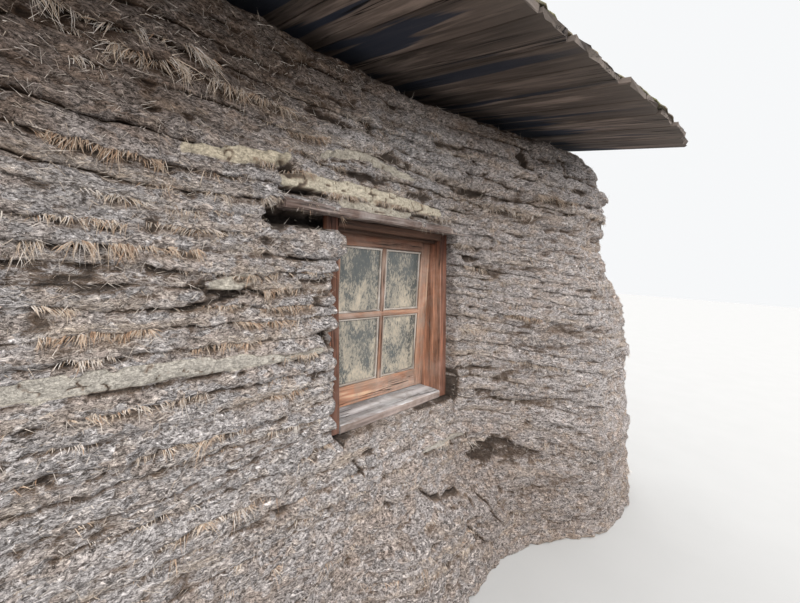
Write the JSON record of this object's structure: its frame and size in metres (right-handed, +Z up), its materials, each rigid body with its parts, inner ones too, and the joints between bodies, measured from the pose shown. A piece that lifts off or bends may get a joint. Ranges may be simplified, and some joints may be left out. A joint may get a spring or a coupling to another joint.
{
  "type": "sod house",
  "caption": "Prairie sod house of laid turf courses, with plank-framed windows, a plank door and a low overhanging roof of boards and sod.",
  "frame": {"origin": "on the ground at the middle of the house", "axes": "+X along the front wall to the right as seen from outside, -Y the front, +Z up"},
  "size_m": [8.4688, 6.629, 2.7863],
  "materials": {
    "sod": "rough dry turf and earth, layered",
    "roof_sod": "rough dry turf, mossy",
    "roof_boards": "weathered dark brown planks",
    "logs": "weathered peeled logs",
    "lintel_wood": "weathered grey-brown planks",
    "frame_wood": "weathered red-brown planks",
    "sill_wood": "weathered grey plank",
    "sash_wood": "weathered red-brown sash with remains of pale putty",
    "glass": "dusty window glass",
    "door_wood": "weathered brown planks"
  },
  "bodies": {
    "root": {"left_front_corner": "sod", "left_window_apron": "sod", "left_window_head": "sod", "left_pier": "sod", "door_head_sods": "sod", "right_pier": "sod", "right_window_apron": "sod", "right_window_head": "sod", "right_front_corner": "sod", "right_gable_wall": "sod", "right_back_corner": "sod", "back_wall": "sod", "left_back_corner": "sod", "left_gable_wall": "sod", "right_gable_top": "sod", "left_gable_top": "sod", "front_eave_fill": "sod", "back_eave_fill": "sod", "ridge_log": "logs", "front_purlin": "logs", "back_purlin": "logs", "front_wall_plate": "logs", "back_wall_plate": "logs", "front_roof_boards": "roof_boards", "back_roof_boards": "roof_boards", "front_roof_sod": "roof_sod", "back_roof_sod": "roof_sod", "left_window_lintel": "lintel_wood", "left_window_frame": "frame_wood", "left_window_sill": "sill_wood", "left_window_sash": "sash_wood", "left_window_glass": "glass", "right_window_lintel": "lintel_wood", "right_window_frame": "frame_wood", "right_window_sill": "sill_wood", "right_window_sash": "sash_wood", "right_window_glass": "glass", "door_lintel": "lintel_wood", "door_frame": "frame_wood", "door_leaf": "door_wood", "door_threshold": "sill_wood"}
  },
  "joints": []
}
